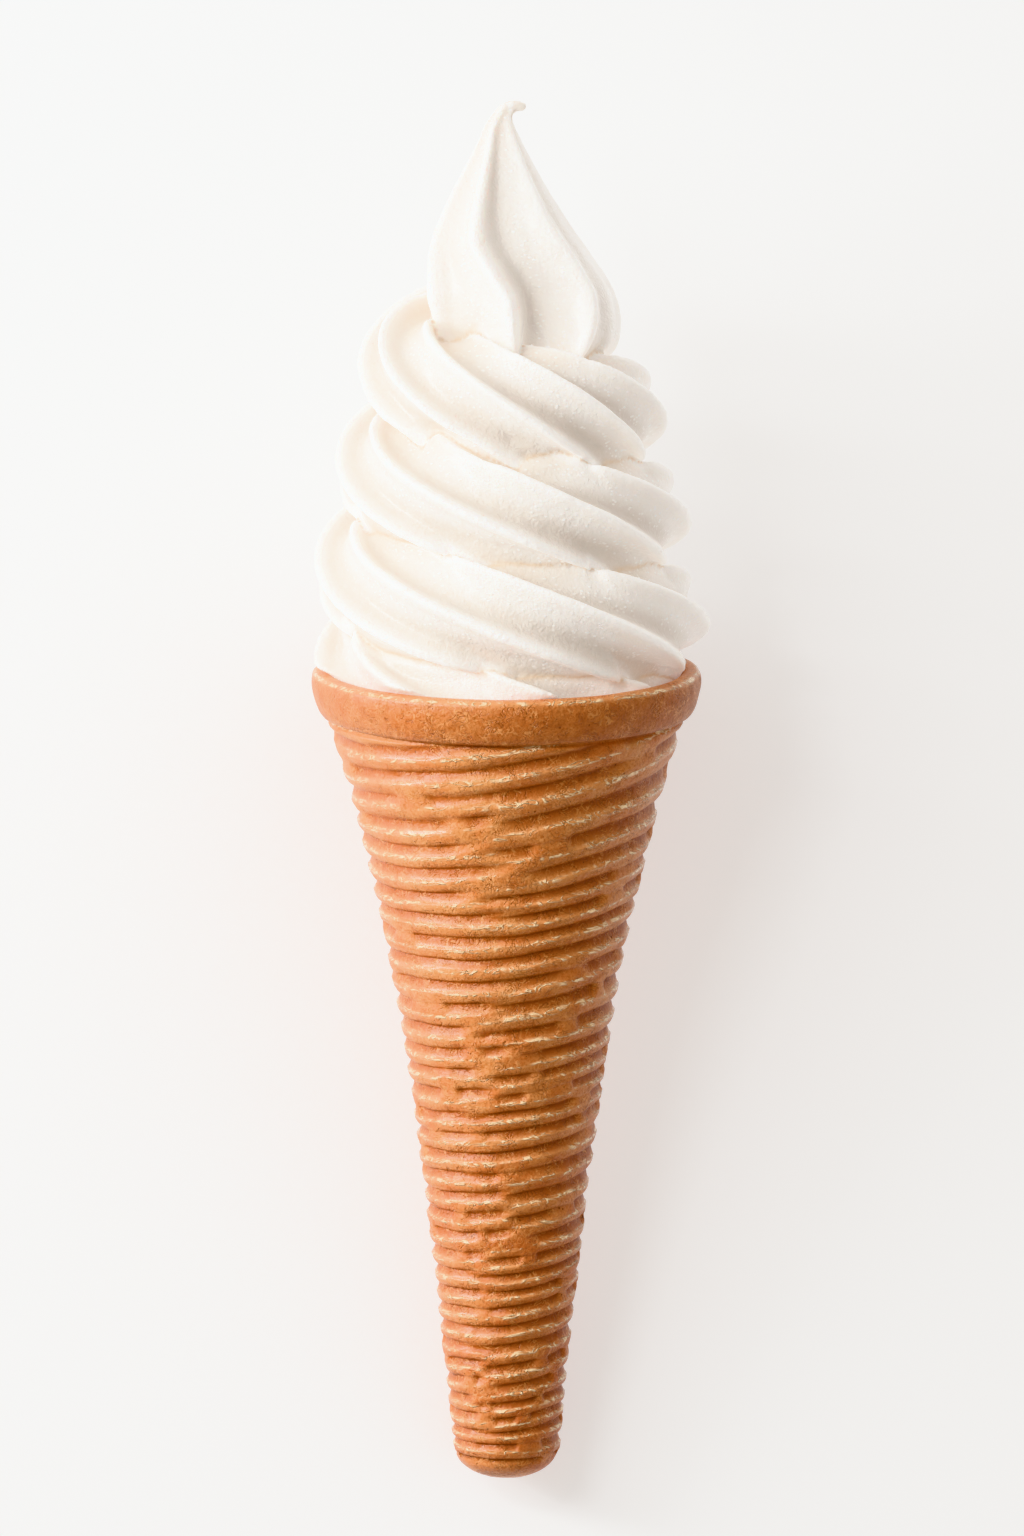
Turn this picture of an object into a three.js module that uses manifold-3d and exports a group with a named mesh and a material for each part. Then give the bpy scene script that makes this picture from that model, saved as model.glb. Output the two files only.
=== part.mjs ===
// A soft serve cone: a ribbed wafer cone, filled with soft serve and crowned with its swirl,
// lying on the floor on its rim and its tail.
//
// Every piece is drawn upright first, in millimetres: Z is the axis of the cone, the tail
// ends at height 0, the shown side faces -Y and +X is to its right. The group at the end
// lays the cone down, shown side up, swirl towards +Y.

import * as THREE from "three";
import { mergeVertices } from "three/addons/utils/BufferGeometryUtils.js";
import Module from "manifold-3d";

const wasm = await Module();
wasm.setup();

const TURN = 2 * Math.PI;
const GAP = 0.3; // clearance between wafer and soft serve

// ---- Wafer cone: a thin shell with ribs round it and a smooth flared rim -----------------

const WALL = 2.5;
const WAFER_COLUMNS = 28;

// The mean outer radius grows slowly at the tail and flares towards the rim.
const TAIL_RADIUS = 7.7;
const TAPER = 0.101; // radius gained per millimetre of height
const FLARE = 7.9; // further radius gained at the rim's foot
const FLARE_POWER = 3.5;
const RIM_FOOT = 124.7;

// The tail is a half ellipsoid, as wide as the cone where the first rib begins.
const TAIL_DOME = 4.4;
const TAIL_RINGS = 4;

// Each rib is a little taller than the one below, and stands in proportion to its height.
const FIRST_RIB = 2.75;
const RIB_GROWTH = 1.0135;
const RIB_RELIEF = 0.23; // relief as a part of the rib's height
const RIB_SHOULDERS = [0.3, 0.74]; // where the flat of a rib starts and ends between grooves

// The ribs tilt: they climb from the left over the front to the right.
const RIB_TILT = 0.12; // climb at the right, as a part of the radius
const TILT_GAIN = 0.045; // further climb near the rim
const GAIN_FROM = [85.0, 118.0]; // heights over which it comes in
const RIB_SWING = 0.022; // lets most of the climb fall right of the front
const TILT_FROM = [4.4, 11.0]; // heights over which the tilt grows from the tail
const TILT_TO = [108.0, 124.7]; // and over which it fades under the rim

// The rim's outline, as radius and height, from its foot outside over the lip to the inside.
const RIM_OUTLINE = [
  [28.3, 124.9],
  [29.5, 125.3],
  [30.4, 126.9],
  [31.1, 129.4],
  [31.05, 131.3],
  [30.6, 132.1],
  [29.5, 132.4],
  [28.5, 132.2],
  [27.9, 131.0],
];
const [RIM_RADIUS, RIM_WIDEST] = RIM_OUTLINE[3];
const [, RIM_TOP] = RIM_OUTLINE[6];
const [LIP_RADIUS, LIP_HEIGHT] = RIM_OUTLINE.at(-1);
const INNER_RINGS = 6;
const INNER_BOTTOM = 4.5; // height of the wafer's floor inside the tail

// ---- Soft serve: a star-shaped rope coiled upwards, and a peak drawn out of its end ------

const LOBES = 6;
const POINTS_PER_LOBE = 4;
const TURNS_PER_CHUNK = 0.8; // the coil is joined from chunks that don't meet themselves
const STEPS_PER_CHUNK = 18;

// The coil rises clockwise seen from above. Turn 0 is at the right, just above the rim.
const FIRST_TURN = -1.0;
const LAST_TURN = 3.0;
const COIL_START = 140.2; // height of the rope's middle at turn 0
const COIL_PITCH = 16.5;
const COIL_REACH = 32.9; // from the axis to the rope's outside at turn 0
const COIL_LEAN = 2.7; // the reach shrinks with the turns, at first slowly
const COIL_CURVE = 0.35;
const MOUTH_REACH = 31.6; // the reach of the turn that stands in the rim
const MOUTH_LAST_TURN = -0.2;
const ROPE_RADIUS = 10.6;
const ROPE_GROOVE = 0.34; // depth of the valleys between lobes, as a part of the radius
const LOBE_TURNS = 7 / 6; // turns of the rope's section for each turn of the coil
const LOBE_WANDER = THREE.MathUtils.degToRad(6); // the lobes run ahead and lag twice a turn
const WANDER_START = 0.08; // in turns of the coil
const LOBE_GAIN = THREE.MathUtils.degToRad(40); // they turn this much further near the top
const GAIN_TURNS = [2.0, 2.5];
const CREST_SHARPNESS = 1.6; // above 1 for crisp crests between broad valleys
const CREST_PINCH = 0.5; // narrows the crests further
const LOBE_LEAN = 0.45; // a lobe is steeper on its upper flank than on its lower one
const ROPE_END = 0.35; // the last part of the coil, over which the rope tucks in
const ROPE_END_SHRINK = 0.35; // as a part of the rope's radius
const AXIS_CLEARANCE = 0.6; // the rope's section stays on its own side of the axis
const CORE_DEPTH = 6.0; // the swirl's heart ends this far inside the coil's reach
const CORE_TURNS = [-0.5, 0, 0.5, 1, 1.5, 2]; // turns at which the heart's width is taken
const CORE_TOP = 200.0;

// The coil's first turn swells against the rim, at the right: middle from the axis, its
// height, and the half sizes outwards, along the rim and upwards.
const SWELL_MIDDLE = [20.0, 132.5];
const SWELL_SIZE = [9.0, 11.0, 4.5];
const SWELL_COLUMNS = 12;
const SWELL_ROWS = 8;

// The peak: middle of each section to the right of the axis, its height and its radius.
const PEAK_STATIONS = [
  [2.4, 179.0, 10.0],
  [2.6, 183.0, 14.6],
  [2.6, 187.0, 16.1],
  [2.4, 190.5, 16.3],
  [1.7, 194.5, 15.6],
  [0.5, 199.0, 13.8],
  [-0.3, 203.0, 11.6],
  [-0.8, 207.5, 9.0],
  [-1.0, 212.0, 6.5],
  [-1.1, 216.5, 4.2],
  [-1.0, 220.0, 2.7],
  [-0.2, 222.3, 1.7],
  [1.4, 223.2, 1.2],
  [3.1, 223.0, 0.9],
];
const PEAK_STEPS = 19;
const PEAK_HOOK = [217.0, 223.0]; // heights between which its sections tilt into the hooked tip
const PEAK_GROOVE = 0.4;

// Where the peak's two shown ridges run: height, and degrees to the right of the front for each.
const PEAK_RIDGES = [
  [180.0, -4.0, 30.0],
  [186.0, -5.0, 39.0],
  [190.0, -5.0, 45.0],
  [194.5, -5.5, 51.0],
  [198.5, -13.0, 53.0],
  [202.5, -25.0, 51.0],
  [206.5, -27.0, 48.0],
  [213.0, -27.0, 49.0],
  [223.5, -27.0, 49.0],
];

// Depth of the valley after each ridge, going round from the left one of the two, as a part of
// PEAK_GROOVE. The first valley is deeper at its foot.
const VALLEY_DEPTHS = [1.0, 0.3, 0.8, 0.8, 0.8, 0.5];
const VALLEY_DEEPER = 0.5;
const DEEPER_UP_TO = [188.0, 201.0];

// ---- Lying down ---------------------------------------------------------------------------

const FLAT_DEPTH = 0.35; // how much the floor flattens rim and tail, so that they rest
const ROOM = 400; // larger than the whole cone, for the solids that cut it

// A closed surface of rings with equal numbers of points, each end closed to a point.
function ringSurface(rings, startPoint, endPoint) {
  const count = rings[0].length;
  const points = [startPoint, ...rings.flat(), endPoint];
  const last = points.length - 1;
  const faces = [];
  const corner = (ring, column) => 1 + ring * count + (column % count);
  for (let column = 0; column < count; column++) {
    faces.push(0, corner(0, column + 1), corner(0, column));
    faces.push(last, corner(rings.length - 1, column), corner(rings.length - 1, column + 1));
    for (let ring = 0; ring + 1 < rings.length; ring++) {
      const a = corner(ring, column);
      const b = corner(ring, column + 1);
      const c = corner(ring + 1, column + 1);
      const d = corner(ring + 1, column);
      faces.push(a, b, c, a, c, d);
    }
  }
  const geometry = new THREE.BufferGeometry();
  geometry.setFromPoints(points);
  geometry.setIndex(faces);
  return geometry;
}

function toSolid(geometry) {
  const bare = geometry.clone();
  bare.deleteAttribute("normal");
  bare.deleteAttribute("uv");
  const merged = mergeVertices(bare);
  return new wasm.Manifold(
    new wasm.Mesh({
      numProp: 3,
      vertProperties: new Float32Array(merged.attributes.position.array),
      triVerts: new Uint32Array(merged.index.array),
    }),
  );
}

function toGeometry(solid) {
  const { vertProperties, triVerts } = solid.getMesh();
  const geometry = new THREE.BufferGeometry();
  geometry.setAttribute("position", new THREE.BufferAttribute(vertProperties, 3));
  geometry.setIndex(new THREE.BufferAttribute(triVerts, 1));
  geometry.computeVertexNormals();
  return geometry;
}

// The largest closed skin of a solid, so that hollows sealed between the pieces are filled.
function largestSkin(solid) {
  const skins = solid.decompose();
  return skins.reduce((best, skin) => (skin.volume() > best.volume() ? skin : best));
}

// A profile of radius and height, turned round the cone's axis.
function turned(profile) {
  const lathe = new THREE.LatheGeometry(profile, WAFER_COLUMNS);
  return toSolid(lathe.rotateX(Math.PI / 2));
}

function aroundAxis(radius, azimuth, height) {
  return new THREE.Vector3(radius * Math.cos(azimuth), radius * Math.sin(azimuth), height);
}

// ---- Wafer --------------------------------------------------------------------------------

function coneRadius(height) {
  return TAIL_RADIUS + TAPER * height + FLARE * (height / RIM_FOOT) ** FLARE_POWER;
}

// How far a rib stands above its middle height at an azimuth. Level at the tail and the rim.
function ribClimb(azimuth, height) {
  const steepness = RIB_TILT + TILT_GAIN * THREE.MathUtils.smoothstep(height, ...GAIN_FROM);
  const tilt = steepness * Math.cos(azimuth) + RIB_SWING * Math.cos(2 * azimuth);
  const fromTail = THREE.MathUtils.smoothstep(height, ...TILT_FROM);
  const toRim = 1 - THREE.MathUtils.smoothstep(height, ...TILT_TO);
  return tilt * coneRadius(height) * fromTail * toRim;
}

function waferRing(radiusAt, height) {
  return Array.from({ length: WAFER_COLUMNS }, (_, column) => {
    const azimuth = (TURN * column) / WAFER_COLUMNS;
    const tilted = height + ribClimb(azimuth, height);
    return aroundAxis(radiusAt(tilted), azimuth, tilted);
  });
}

function tailRings() {
  const radius = coneRadius(TAIL_DOME);
  return Array.from({ length: TAIL_RINGS }, (_, ring) => {
    const angle = (Math.PI / 2) * ((ring + 1) / (TAIL_RINGS + 1));
    return waferRing(() => radius * Math.sin(angle), TAIL_DOME * (1 - Math.cos(angle)));
  });
}

// Groove, lower shoulder, upper shoulder, and so on up to the rim's foot.
function ribRings() {
  const rings = [];
  let groove = TAIL_DOME;
  let rib = FIRST_RIB;
  while (groove + rib < RIM_FOOT) {
    const relief = RIB_RELIEF * rib;
    rings.push(waferRing((height) => coneRadius(height) - relief / 2, groove));
    for (const part of RIB_SHOULDERS) {
      rings.push(waferRing((height) => coneRadius(height) + relief / 2, groove + part * rib));
    }
    groove += rib;
    rib *= RIB_GROWTH;
  }
  const relief = RIB_RELIEF * rib;
  rings.push(waferRing((height) => coneRadius(height) - relief / 2, groove));
  const underRim = THREE.MathUtils.lerp(groove, RIM_FOOT, RIB_SHOULDERS[1]);
  rings.push(waferRing((height) => coneRadius(height) + relief / 2, underRim));
  return rings;
}

function rimRings() {
  return RIM_OUTLINE.map(([radius, height]) => waferRing(() => radius, height));
}

function innerRadius(height) {
  return coneRadius(height) - WALL;
}

function innerRings() {
  return Array.from({ length: INNER_RINGS }, (_, ring) => {
    const height = THREE.MathUtils.lerp(RIM_FOOT, INNER_BOTTOM, ring / (INNER_RINGS - 1));
    return Array.from({ length: WAFER_COLUMNS }, (_, column) =>
      aroundAxis(innerRadius(height), (TURN * column) / WAFER_COLUMNS, height),
    );
  });
}

function waferShell() {
  const rings = [...tailRings(), ...ribRings(), ...rimRings(), ...innerRings()];
  return ringSurface(rings, new THREE.Vector3(), new THREE.Vector3(0, 0, INNER_BOTTOM));
}

// ---- Soft serve ---------------------------------------------------------------------------

// Six lobes with crisp crests and broad hollow valleys, as a part of the section's radius.
function starRadius(phase, groove) {
  const leaning = phase + CREST_PINCH * Math.sin(phase) + LOBE_LEAN * (1 - Math.cos(phase));
  const crest = ((1 + Math.cos(leaning)) / 2) ** CREST_SHARPNESS;
  return 1 - groove * (1 - crest);
}

function coilReach(turn) {
  const risen = Math.max(turn, 0);
  const coiled = COIL_REACH - COIL_LEAN * risen - COIL_CURVE * risen * risen;
  const clear = THREE.MathUtils.smoothstep(turn, MOUTH_LAST_TURN, 0);
  return THREE.MathUtils.lerp(MOUTH_REACH, coiled, clear);
}

function lobeAngle(turn) {
  const wander = LOBE_WANDER * Math.sin(2 * TURN * (turn - WANDER_START));
  const gain = LOBE_GAIN * THREE.MathUtils.smoothstep(turn, ...GAIN_TURNS);
  return TURN * LOBE_TURNS * turn + wander + gain;
}

// The rope's section at a turn of the coil, drawn in the half plane through the axis.
function ropeSection(turn) {
  const tuck = THREE.MathUtils.smoothstep(turn, LAST_TURN - ROPE_END, LAST_TURN);
  const radius = ROPE_RADIUS * (1 - ROPE_END_SHRINK * tuck);
  const middle = coilReach(turn) - ROPE_RADIUS - tuck * ROPE_RADIUS * ROPE_END_SHRINK;
  const height = COIL_START + COIL_PITCH * turn;
  const inward = Math.min(1, (middle - AXIS_CLEARANCE) / radius);
  const count = LOBES * POINTS_PER_LOBE;
  const ring = Array.from({ length: count }, (_, point) => {
    const angle = (TURN * point) / count;
    const reach = radius * starRadius(angle * LOBES, ROPE_GROOVE);
    const across = reach * Math.cos(angle + lobeAngle(turn));
    const out = middle + across * (across < 0 ? inward : 1);
    return aroundAxis(out, -TURN * turn, height + reach * Math.sin(angle + lobeAngle(turn)));
  });
  return { ring, middle: aroundAxis(middle, -TURN * turn, height) };
}

function ropeChunk(firstTurn, lastTurn) {
  const sections = Array.from({ length: STEPS_PER_CHUNK + 1 }, (_, step) =>
    ropeSection(THREE.MathUtils.lerp(firstTurn, lastTurn, step / STEPS_PER_CHUNK)),
  );
  const rings = sections.map((section) => section.ring);
  return ringSurface(rings, sections[0].middle, sections.at(-1).middle);
}

function coil() {
  let solid = null;
  for (let turn = FIRST_TURN; turn < LAST_TURN; turn += TURNS_PER_CHUNK) {
    const chunk = toSolid(ropeChunk(turn, Math.min(turn + TURNS_PER_CHUNK, LAST_TURN)));
    solid = solid ? solid.add(chunk) : chunk;
  }
  return solid;
}

// Directions of the peak's two shown ridges at a height, between those of the nearest rows.
function ridgesAt(height) {
  const above = PEAK_RIDGES.findIndex(([rowHeight]) => rowHeight > height);
  const next = above < 0 ? PEAK_RIDGES.length - 1 : Math.max(above, 1);
  const [low, ...lowRidges] = PEAK_RIDGES[next - 1];
  const [high, ...highRidges] = PEAK_RIDGES[next];
  const part = THREE.MathUtils.clamp((height - low) / (high - low), 0, 1);
  return lowRidges.map((degrees, ridge) => {
    const right = THREE.MathUtils.lerp(degrees, highRidges[ridge], part);
    return THREE.MathUtils.degToRad(right) - TURN / 4;
  });
}

// Direction in which a point of the peak lies that is so many lobes on from the first ridge:
// one lobe up to the second ridge, and the others evenly over the rest of the way round.
function peakAzimuth(passed, height) {
  const [first, second] = ridgesAt(height);
  const rest = (TURN - (second - first)) / (LOBES - 1);
  return passed < 1 ? first + passed * (second - first) : second + (passed - 1) * rest;
}

function valleyDepth(passed, height) {
  const foot = VALLEY_DEEPER * (1 - THREE.MathUtils.smoothstep(height, ...DEEPER_UP_TO));
  return PEAK_GROOVE * (VALLEY_DEPTHS[Math.floor(passed)] + (passed < 1 ? foot : 0));
}

// Sections square to a line through the stations, with ridges that wander down to the foot.
function peak() {
  const path = new THREE.CatmullRomCurve3(
    PEAK_STATIONS.map(([right, height]) => new THREE.Vector3(right, 0, height)),
  );
  const radii = new THREE.CatmullRomCurve3(
    PEAK_STATIONS.map(([, , radius]) => new THREE.Vector3(radius, 0, 0)),
  );
  const count = LOBES * POINTS_PER_LOBE;
  const rings = Array.from({ length: PEAK_STEPS + 1 }, (_, step) => {
    const along = step / PEAK_STEPS;
    const middle = path.getPoint(along);
    const hooked = THREE.MathUtils.smoothstep(middle.z, ...PEAK_HOOK);
    const upwards = new THREE.Vector3(0, 0, 1).lerp(path.getTangent(along), hooked).normalize();
    const sideways = new THREE.Vector3(upwards.z, 0, -upwards.x);
    const backwards = new THREE.Vector3(0, 1, 0);
    const radius = radii.getPoint(along).x;
    return Array.from({ length: count }, (_, point) => {
      const passed = point / POINTS_PER_LOBE;
      const azimuth = peakAzimuth(passed, middle.z);
      const reach = radius * starRadius(passed * TURN, valleyDepth(passed, middle.z));
      return middle
        .clone()
        .addScaledVector(sideways, reach * Math.cos(azimuth))
        .addScaledVector(backwards, reach * Math.sin(azimuth));
    });
  });
  const tipRadius = PEAK_STATIONS.at(-1)[2];
  const tip = path.getPoint(1).addScaledVector(path.getTangent(1), tipRadius / 2);
  return toSolid(ringSurface(rings, path.getPoint(0), tip));
}

// The filling, wider than the wafer's inside, and the heart of the swirl up to its peak.
function core() {
  const profile = [
    new THREE.Vector2(0, 0),
    new THREE.Vector2(coneRadius(0), 0),
    new THREE.Vector2(coneRadius(RIM_FOOT), RIM_FOOT),
  ];
  for (const turn of CORE_TURNS) {
    const height = COIL_START + COIL_PITCH * turn;
    profile.push(new THREE.Vector2(coilReach(turn) - CORE_DEPTH, height));
  }
  profile.push(new THREE.Vector2(0, CORE_TOP));
  return turned(profile);
}

function swell() {
  const ball = new THREE.SphereGeometry(1, SWELL_COLUMNS, SWELL_ROWS);
  return toSolid(ball.scale(...SWELL_SIZE).translate(SWELL_MIDDLE[0], 0, SWELL_MIDDLE[1]));
}

// The room that the wafer leaves: its inside less the gap, and everything above its rim.
function roomAboveWafer() {
  const profile = [
    new THREE.Vector2(0, INNER_BOTTOM + GAP),
    new THREE.Vector2(innerRadius(INNER_BOTTOM) - 2 * GAP, INNER_BOTTOM + GAP),
  ];
  for (let ring = 1; ring < INNER_RINGS; ring++) {
    const height = THREE.MathUtils.lerp(INNER_BOTTOM, RIM_FOOT, ring / (INNER_RINGS - 1));
    profile.push(new THREE.Vector2(innerRadius(height) - 2 * GAP, height));
  }
  profile.push(
    new THREE.Vector2(LIP_RADIUS - 2 * GAP, LIP_HEIGHT),
    new THREE.Vector2(LIP_RADIUS, RIM_TOP + GAP),
    new THREE.Vector2(ROOM, RIM_TOP + GAP),
    new THREE.Vector2(ROOM, ROOM),
    new THREE.Vector2(0, ROOM),
  );
  return turned(profile);
}

function softServe() {
  return largestSkin(coil().add(core()).add(swell()).add(peak()).intersect(roomAboveWafer()));
}

// ---- Lying down ---------------------------------------------------------------------------

// The cone leans by the angle at which its widest rim and its lowest rib touch the floor.
const restHeight = TAIL_DOME + RIB_SHOULDERS[1] * FIRST_RIB;
const restRadius = coneRadius(restHeight) + (RIB_RELIEF * FIRST_RIB) / 2;
const lean = Math.atan((RIM_RADIUS - restRadius) / (RIM_WIDEST - restHeight));

function layDown() {
  return new THREE.Euler(-(Math.PI / 2 - lean), 0, 0);
}

function lowestPoint(geometry) {
  const laid = geometry.clone().applyMatrix4(new THREE.Matrix4().makeRotationFromEuler(layDown()));
  laid.computeBoundingBox();
  return laid.boundingBox.min.z;
}

function flattened(geometry) {
  const slab = new THREE.BoxGeometry(ROOM, ROOM, ROOM);
  slab.translate(0, 0, lowestPoint(geometry) + FLAT_DEPTH - ROOM / 2);
  slab.applyMatrix4(new THREE.Matrix4().makeRotationFromEuler(layDown()).invert());
  return toGeometry(toSolid(geometry).subtract(toSolid(slab)));
}

const waferCone = new THREE.Mesh(
  flattened(waferShell()),
  new THREE.MeshStandardMaterial({ color: 0xc98a55, roughness: 0.5, metalness: 0 }),
);
waferCone.name = "wafer_cone";

const swirl = new THREE.Mesh(
  toGeometry(softServe()),
  new THREE.MeshStandardMaterial({ color: 0xf8f2ea, roughness: 0.4, metalness: 0 }),
);
swirl.name = "soft_serve";

const lying = new THREE.Group();
lying.add(waferCone, swirl);
lying.rotation.copy(layDown());

const group = new THREE.Group();
group.add(lying);

// The origin is under the middle of the whole, on the floor.
const bounds = new THREE.Box3().setFromObject(group, true);
const middle = bounds.getCenter(new THREE.Vector3());
lying.position.set(-middle.x, -middle.y, -bounds.min.z);

export default group;
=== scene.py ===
"""Finish for a soft serve cone that lies on the floor on its rim and its tail.

The pieces are drawn upright in millimetres, with the cone's axis up, its tail at height 0 and
the shown side towards -Y. lay_down() turns them over and puts them where the frame has them.
"""

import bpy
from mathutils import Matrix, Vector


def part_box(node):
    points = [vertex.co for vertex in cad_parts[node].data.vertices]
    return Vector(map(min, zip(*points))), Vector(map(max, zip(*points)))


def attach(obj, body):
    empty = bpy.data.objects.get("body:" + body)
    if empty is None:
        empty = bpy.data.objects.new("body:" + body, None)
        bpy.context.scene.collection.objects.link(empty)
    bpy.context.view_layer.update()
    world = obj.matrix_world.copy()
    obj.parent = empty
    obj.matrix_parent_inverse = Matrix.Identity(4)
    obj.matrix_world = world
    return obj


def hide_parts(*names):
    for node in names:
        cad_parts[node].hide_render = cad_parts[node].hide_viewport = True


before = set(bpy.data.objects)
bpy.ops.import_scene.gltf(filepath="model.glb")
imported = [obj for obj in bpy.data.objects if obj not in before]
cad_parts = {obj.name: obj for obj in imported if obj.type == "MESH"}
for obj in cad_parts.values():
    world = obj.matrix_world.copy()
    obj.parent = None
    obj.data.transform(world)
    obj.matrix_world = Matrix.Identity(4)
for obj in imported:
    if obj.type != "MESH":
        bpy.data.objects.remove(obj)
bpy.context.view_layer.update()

import itertools
import math
from typing import NamedTuple

import bmesh
import bpy
import numpy as np
from bpy.props import FloatProperty, FloatVectorProperty, PointerProperty

bl_info = {
    "name": "Soft Serve Cone",
    "version": (1, 0, 0),
    "blender": (4, 5, 0),
    "location": "3D View > Sidebar > Soft Serve",
    "description": "Builds the wafer, the swirl and the studio of a soft serve cone",
    "category": "Object",
}

TURN = 2 * math.pi
MM = 0.001

# ---- Wafer sizes, in millimetres ----

WALL = 2.5
TAIL_RADIUS = 7.7
TAPER = 0.101  # radius gained per millimetre of height
FLARE = 7.9  # further radius gained at the rim's foot
FLARE_POWER = 3.5
RIM_FOOT = 124.7
TAIL_DOME = 4.4
TAIL_ROWS = 9

RIBS = 34
FIRST_RIB = 2.75
RIB_GROWTH = 1.0135
RIB_ROWS = (0.0, 0.035, 0.08, 0.16, 0.28, 0.4, 0.465, 0.5, 0.535, 0.59, 0.7, 0.83, 0.94)
NOTCH_DEPTH = 1.1  # of the narrow notch under the rim
NOTCH_WIDTH = 0.55
LOWER_FACE = 0.47  # how far a groove reaches up into the rib above, in ribs
LOWER_POWER = 2.6
UPPER_FACE = 0.5  # and how far down into the rib below
UPPER_POWER = 0.62
CREVICE_PART = 0.3  # of a groove's depth that is a narrow crevice at its bottom
CREVICE_WIDTH = 0.045
RIB_CREST_WIDTH = 0.12
PINCH_NOISE = (-0.7, -0.3)  # noise below which a groove is shallow, and above which it isn't
PINCH_LEFT = 0.2  # of its depth there
PINCH_WAVES = (3.1, 1.7)  # of that noise: along a groove, and from one groove to the next
PINCH_SEED = 14
NARROWEST = 0.45  # part of a groove's width that is left where it runs out
CLOSE_ROWS = (0.2, 0.15, 0.1, 0.05, 0.0)  # ribs below the rim's foot at which rows stand closer
CLOSE_GAP = 0.03  # ribs between them and the row before
# Depth, size and seed of each noise that moves the ribs, their depth and the whole surface.
RIB_WANDER = ((0.09, 1.7, 11), (0.04, 0.6, 12))
DEPTH_WANDER = ((0.22, 1.1, 13),)
WAFER_UNEVEN = ((0.13, 7.0, 21), (0.1, 2.3, 22))

RIB_TILT = 0.12  # climb at the right, as a part of the radius
TILT_GAIN = 0.045  # further climb near the rim
GAIN_FROM = (85.0, 118.0)
RIB_SWING = 0.022
TILT_FROM = (4.4, 11.0)
ROWS_LEVEL = (108.0, 124.7)  # heights over which the rows, but not the ribs, level out

# The ribs of the left and the right meet along two seams, at the front and at the back.
SEAM_LOW = math.radians(-20)  # where the seam runs at the tail, from the middle to the right
SEAM_HIGH = math.radians(-3)
SPREAD_LOW = math.radians(24)  # how far the ends of the grooves stray from it
SPREAD_HIGH = math.radians(9)
SEAM_GAP = (math.radians(-16), math.radians(11))  # from where ribs meet to where they miss
GROOVE_END = math.radians(17)  # over which a groove runs out
SLIDE = math.radians(26)  # over which the rows follow the ribs from one side to the other
SHIFT_WAVE = 8.6  # ribs from one place where left and right meet to the next
SHIFT_MOST = 0.5
SHIFT_FADE = 2.0  # ribs at each end where they always meet
SEAM_SEEDS = (5, 6)  # for the front and the back

RIM_OUTLINE = (
    (28.3, 124.9),
    (29.5, 125.3),
    (30.4, 126.9),
    (31.1, 129.4),
    (31.05, 131.3),
    (30.6, 132.1),
    (29.5, 132.4),
    (28.5, 132.2),
    (27.9, 131.0),
)
RIM_RADIUS, RIM_WIDEST = RIM_OUTLINE[3]
RIM_TOP = RIM_OUTLINE[6][1]
LIP_RADIUS, LIP_HEIGHT = RIM_OUTLINE[-1]
RIM_SHADE = 0.8  # how far the rim face's deeper brown, a darker bake and painted shade, covers the wafer's colour
RIM_EDGE = 4.8  # the point of it where the outer face turns into the top, along which a highlight line is painted
RIM_EDGE_WIDTH = 0.5
RIM_STEPS = 3  # rows between two points of the rim's outline
WAFER_COLUMNS = 200
INNER_ROWS = 7
INNER_BOTTOM = 4.5

# ---- Soft serve sizes, in millimetres ----

GAP = 0.3
LOBES = 6
ROPE_POINTS = 96
STEPS_PER_TURN = 220
FIRST_TURN = -1.0
LAST_TURN = 3.0
COIL_START = 140.2
COIL_PITCH = 16.5
COIL_REACH = 32.9
COIL_LEAN = 2.7
COIL_CURVE = 0.35
MOUTH_REACH = 31.6
MOUTH_LAST_TURN = -0.2
ROPE_RADIUS = 10.6
LOBE_TURNS = 7 / 6
LOBE_WANDER = math.radians(6)  # the lobes run ahead and lag behind twice a turn
WANDER_START = 0.08
LOBE_GAIN = math.radians(40)  # and turn this much further near the top
GAIN_TURNS = (2.0, 2.5)
CREST_SHARPNESS = 1.6  # above 1 for crisp crests between broad valleys
CREST_PINCH = 0.5  # narrows the crests further
LOBE_LEAN = 0.45  # a lobe is steeper on its upper flank than on its lower one
ROPE_END = 0.35
ROPE_END_SHRINK = 0.35
AXIS_CLEARANCE = 0.6
CORE_DEPTH = 6.0
CORE_TURNS = (-0.5, 0.0, 0.5, 1.0, 1.5, 2.0)
CORE_TOP = 200.0
CORE_COLUMNS = 64

# How wide the soft serve may be over the lip: height and radius.
ABOVE_LIP = ((RIM_TOP - 0.2, LIP_RADIUS + 0.3), (RIM_TOP + 0.3, 28.6), (RIM_TOP + 2.4, 36.0))

# The coil's first turn swells here against the rim, at the right: middle from the axis, its
# height, and the half sizes outwards, along the rim and upwards.
SWELL_MIDDLE = (20.0, 132.5)
SWELL_SIZE = (9.0, 11.0, 4.5)
SWELL_ROWS = 24

CREAM_UNEVEN = ((0.12, 6.0, 31), (0.05, 2.2, 32))  # depth, size and seed of each noise

SMOOTHING = 3  # passes over the fused skin, and again over its furrows
MOST_TRIANGLES = 190000

# The peak: middle of each section to the right of the axis, its height and its radius.
PEAK_STATIONS = (
    (2.4, 179.0, 10.0),
    (2.6, 183.0, 14.6),
    (2.6, 187.0, 16.1),
    (2.4, 190.5, 16.3),
    (1.7, 194.5, 15.6),
    (0.5, 199.0, 13.8),
    (-0.3, 203.0, 11.6),
    (-0.8, 207.5, 9.0),
    (-1.0, 212.0, 6.5),
    (-1.1, 216.5, 4.2),
    (-1.0, 220.0, 2.7),
    (-0.2, 222.3, 1.7),
    (1.4, 223.2, 1.2),
    (3.1, 223.0, 0.9),
)
PEAK_STEPS = 150
PEAK_POINTS = 180
PEAK_HOOK = (217.0, 223.0)
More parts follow.
